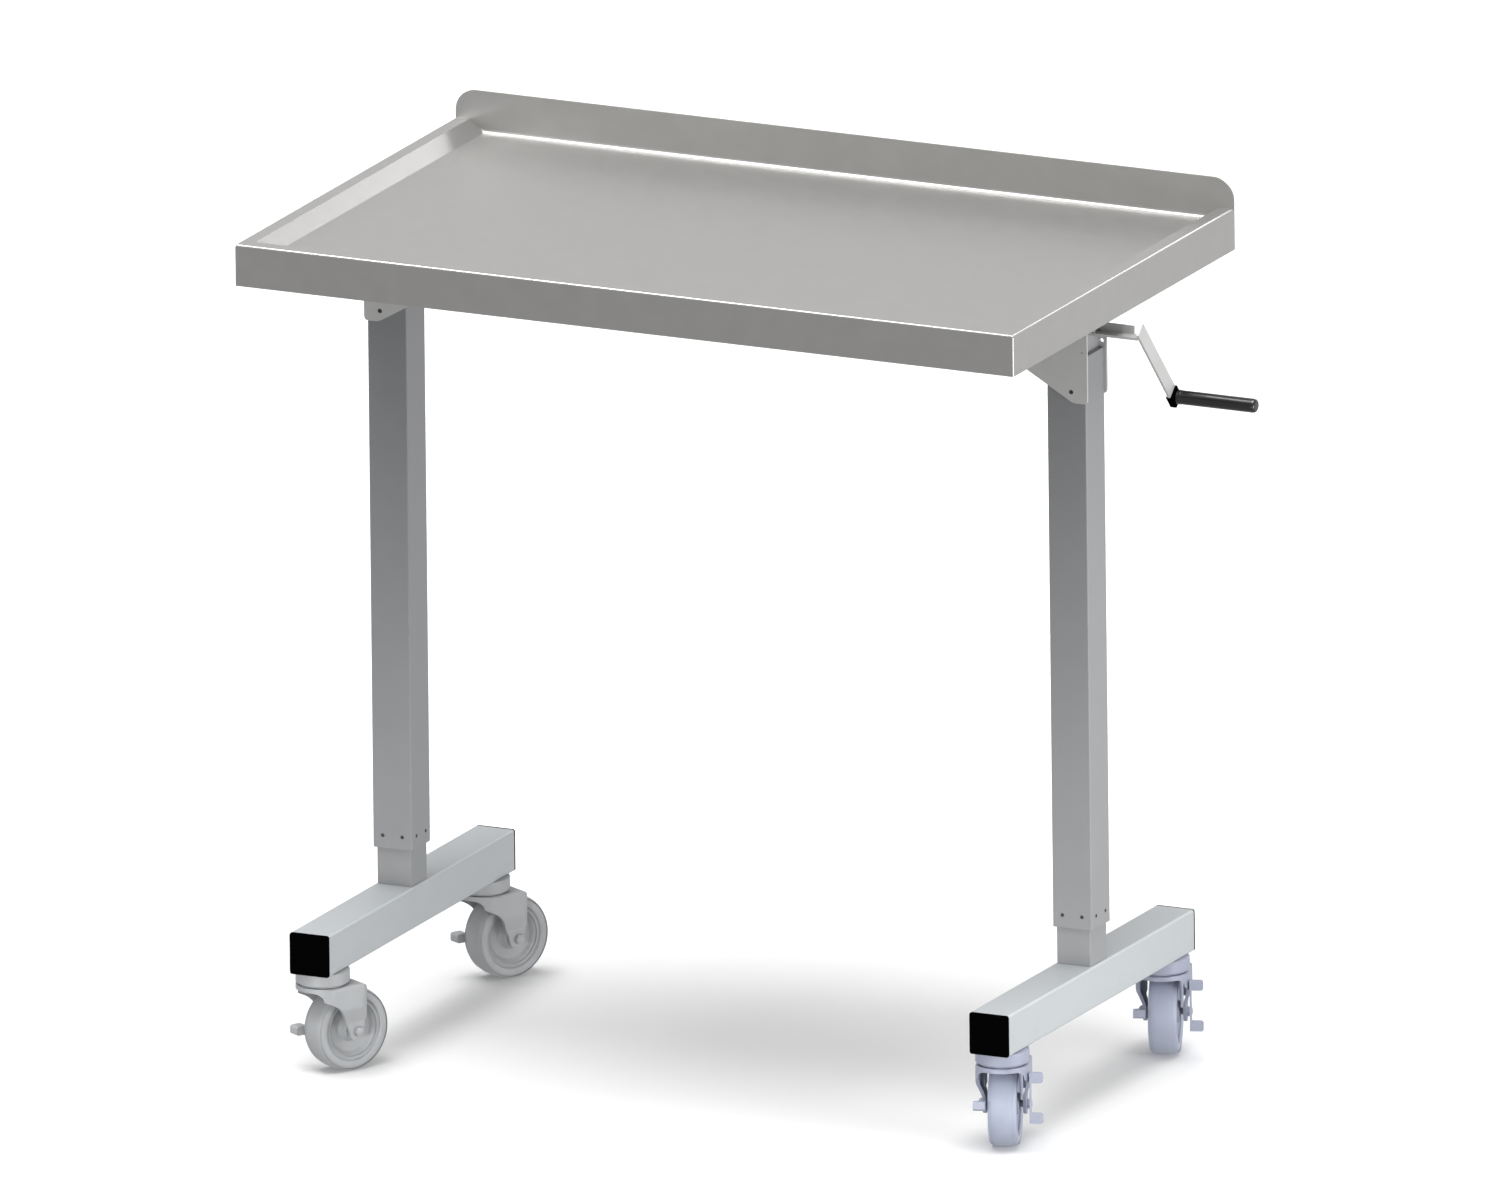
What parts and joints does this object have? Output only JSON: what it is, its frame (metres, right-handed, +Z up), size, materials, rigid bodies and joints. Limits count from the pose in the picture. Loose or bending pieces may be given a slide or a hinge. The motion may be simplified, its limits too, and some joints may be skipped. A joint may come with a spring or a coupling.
{
  "type": "instrument cart",
  "caption": "Height-adjustable instrument cart with a rimmed steel tray and splash-back on telescopic columns, a side crank and braked swivel casters",
  "frame": {"origin": "on the floor, under the middle of the cart's bounding box", "axes": "+X along the tray towards the crank, +Y towards the splash-back, +Z up"},
  "size_m": [1.129, 0.6, 1.047],
  "materials": {
    "tray_steel": "satin stainless steel, fine matt grain",
    "frame_steel": "pale grey paint",
    "column_grey": "silver-grey satin paint",
    "foot_grey": "light grey satin paint",
    "zinc": "dull zinc plate",
    "dark_screw": "black oxide",
    "drive_steel": "machined steel",
    "housing_cast": "cast aluminium",
    "bronze": "bronze nut",
    "slide_plastic": "off-white slide plastic",
    "black_plastic": "moulded black plastic",
    "grip_black": "glossy black grip",
    "caster_grey": "grey moulded nylon",
    "caster_pale": "pale lavender-grey moulded nylon",
    "tyre_grey": "grey tread",
    "tyre_pale": "pale lavender-grey tread"
  },
  "bodies": {
    "left_base": {"foot_tube_left": "foot_grey", "foot_caps_left": "black_plastic", "column_tube_inner_left": "column_grey", "spindle_nut_left": "bronze", "caster_head_left_front": "caster_grey", "caster_head_left_rear": "caster_grey"},
    "top": {"tray": "tray_steel", "support_rail_front": "frame_steel", "support_rail_rear": "frame_steel", "rail_bolts": "zinc", "bracket_screws": "dark_screw", "glide_screws": "dark_screw", "head_bracket_left": "frame_steel", "column_tube_outer_left": "column_grey", "glide_sleeve_left": "slide_plastic", "gearbox_housing_left": "housing_cast", "head_bracket_right": "frame_steel", "column_tube_outer_right": "column_grey", "glide_sleeve_right": "slide_plastic", "gearbox_housing_right": "housing_cast"},
    "right_base": {"foot_tube_right": "foot_grey", "foot_caps_right": "black_plastic", "column_tube_inner_right": "column_grey", "spindle_nut_right": "bronze", "caster_head_right_front": "caster_pale", "caster_head_right_rear": "caster_pale"},
    "drive_line": {"cross_shaft": "drive_steel", "drive_bevel_left": "drive_steel", "drive_bevel_right": "drive_steel", "crank_handle": "frame_steel", "crank_boss": "black_plastic", "grip_pin": "zinc"},
    "grip": {"crank_grip": "grip_black"},
    "spindle_left": {"spindle_left": "drive_steel", "spindle_bevel_left": "drive_steel"},
    "spindle_right": {"spindle_right": "drive_steel", "spindle_bevel_right": "drive_steel"},
    "fork_left_front": {"caster_fork_left_front": "caster_grey", "caster_axle_left_front": "zinc"},
    "wheel_left_front": {"wheel_core_left_front": "caster_grey", "wheel_tyre_left_front": "tyre_grey"},
    "pedal_left_front": {"brake_pedal_left_front": "caster_grey"},
    "fork_left_rear": {"caster_fork_left_rear": "caster_grey", "caster_axle_left_rear": "zinc"},
    "wheel_left_rear": {"wheel_core_left_rear": "caster_grey", "wheel_tyre_left_rear": "tyre_grey"},
    "pedal_left_rear": {"brake_pedal_left_rear": "caster_grey"},
    "fork_right_front": {"caster_fork_right_front": "caster_pale", "caster_axle_right_front": "zinc"},
    "wheel_right_front": {"wheel_core_right_front": "caster_pale", "wheel_tyre_right_front": "tyre_pale"},
    "pedal_right_front": {"brake_pedal_right_front": "caster_pale"},
    "lock_right_front": {"swivel_lock_right_front": "caster_pale"},
    "fork_right_rear": {"caster_fork_right_rear": "caster_pale", "caster_axle_right_rear": "zinc"},
    "wheel_right_rear": {"wheel_core_right_rear": "caster_pale", "wheel_tyre_right_rear": "tyre_pale"},
    "pedal_right_rear": {"brake_pedal_right_rear": "caster_pale"},
    "lock_right_rear": {"swivel_lock_right_rear": "caster_pale"}
  },
  "joints": [
    {"name": "crank_turn", "type": "hinge", "parent": "top", "child": "drive_line", "pos_m": [0.3855, 0, 0.9395], "axis": [1, 0, 0], "range_deg": [0, 18000]},
    {"name": "tray_lift", "type": "slide", "parent": "left_base", "child": "top", "axis": [0, 0, 1], "range_m": [0, 0.4]},
    {"name": "right_leg_slide", "type": "slide", "parent": "top", "child": "right_base", "axis": [0, 0, -1], "range_m": [0, 0.4]},
    {"name": "grip_spin", "type": "hinge", "parent": "drive_line", "child": "grip", "pos_m": [0.5105, 0.08398, 0.8429], "axis": [1, 0, 0], "continuous": true},
    {"name": "spindle_turn_left", "type": "hinge", "parent": "top", "child": "spindle_left", "pos_m": [-0.5011, 0, 0.7], "axis": [0, 0, 1], "range_deg": [0, 18000]},
    {"name": "spindle_turn_right", "type": "hinge", "parent": "top", "child": "spindle_right", "pos_m": [0.3721, 0, 0.7], "axis": [0, 0, 1], "range_deg": [-18000, 0]},
    {"name": "swivel_left_front", "type": "hinge", "parent": "left_base", "child": "fork_left_front", "pos_m": [-0.5011, -0.217, 0.105], "axis": [0, 0, 1], "continuous": true},
    {"name": "wheel_spin_left_front", "type": "hinge", "parent": "fork_left_front", "child": "wheel_left_front", "pos_m": [-0.4851, -0.18929, 0.05], "axis": [0.866, -0.5, 0], "continuous": true},
    {"name": "pedal_rock_left_front", "type": "hinge", "parent": "fork_left_front", "child": "pedal_left_front", "pos_m": [-0.4851, -0.18929, 0.05], "axis": [0.866, -0.5, 0], "range_deg": [-13, 0]},
    {"name": "swivel_left_rear", "type": "hinge", "parent": "left_base", "child": "fork_left_rear", "pos_m": [-0.5011, 0.217, 0.105], "axis": [0, 0, 1], "continuous": true},
    {"name": "wheel_spin_left_rear", "type": "hinge", "parent": "fork_left_rear", "child": "wheel_left_rear", "pos_m": [-0.4851, 0.24471, 0.05], "axis": [0.866, -0.5, 0], "continuous": true},
    {"name": "pedal_rock_left_rear", "type": "hinge", "parent": "fork_left_rear", "child": "pedal_left_rear", "pos_m": [-0.4851, 0.24471, 0.05], "axis": [0.866, -0.5, 0], "range_deg": [-13, 0]},
    {"name": "swivel_right_front", "type": "hinge", "parent": "right_base", "child": "fork_right_front", "pos_m": [0.3721, -0.217, 0.105], "axis": [0, 0, 1], "continuous": true},
    {"name": "wheel_spin_right_front", "type": "hinge", "parent": "fork_right_front", "child": "wheel_right_front", "pos_m": [0.36116, -0.18693, 0.05], "axis": [0.9397, 0.342, 0], "continuous": true},
    {"name": "pedal_rock_right_front", "type": "hinge", "parent": "fork_right_front", "child": "pedal_right_front", "pos_m": [0.36116, -0.18693, 0.05], "axis": [0.9397, 0.342, 0], "range_deg": [0, 13]},
    {"name": "lock_rock_right_front", "type": "hinge", "parent": "fork_right_front", "child": "lock_right_front", "pos_m": [0.40125, -0.20001, 0.089], "axis": [0.9397, 0.342, 0], "range_deg": [-10, 0]},
    {"name": "swivel_right_rear", "type": "hinge", "parent": "right_base", "child": "fork_right_rear", "pos_m": [0.3721, 0.217, 0.105], "axis": [0, 0, 1], "continuous": true},
    {"name": "wheel_spin_right_rear", "type": "hinge", "parent": "fork_right_rear", "child": "wheel_right_rear", "pos_m": [0.36116, 0.24707, 0.05], "axis": [0.9397, 0.342, 0], "continuous": true},
    {"name": "pedal_rock_right_rear", "type": "hinge", "parent": "fork_right_rear", "child": "pedal_right_rear", "pos_m": [0.36116, 0.24707, 0.05], "axis": [0.9397, 0.342, 0], "range_deg": [0, 13]},
    {"name": "lock_rock_right_rear", "type": "hinge", "parent": "fork_right_rear", "child": "lock_right_rear", "pos_m": [0.40125, 0.23399, 0.089], "axis": [0.9397, 0.342, 0], "range_deg": [-10, 0]}
  ],
  "couplings": [
    {"joint": "crank_turn", "follows": "tray_lift", "rad_per_m": 785.4},
    {"joint": "right_leg_slide", "follows": "tray_lift", "ratio": 1},
    {"joint": "spindle_turn_left", "follows": "tray_lift", "rad_per_m": 785.4},
    {"joint": "spindle_turn_right", "follows": "tray_lift", "rad_per_m": -785.4}
  ]
}
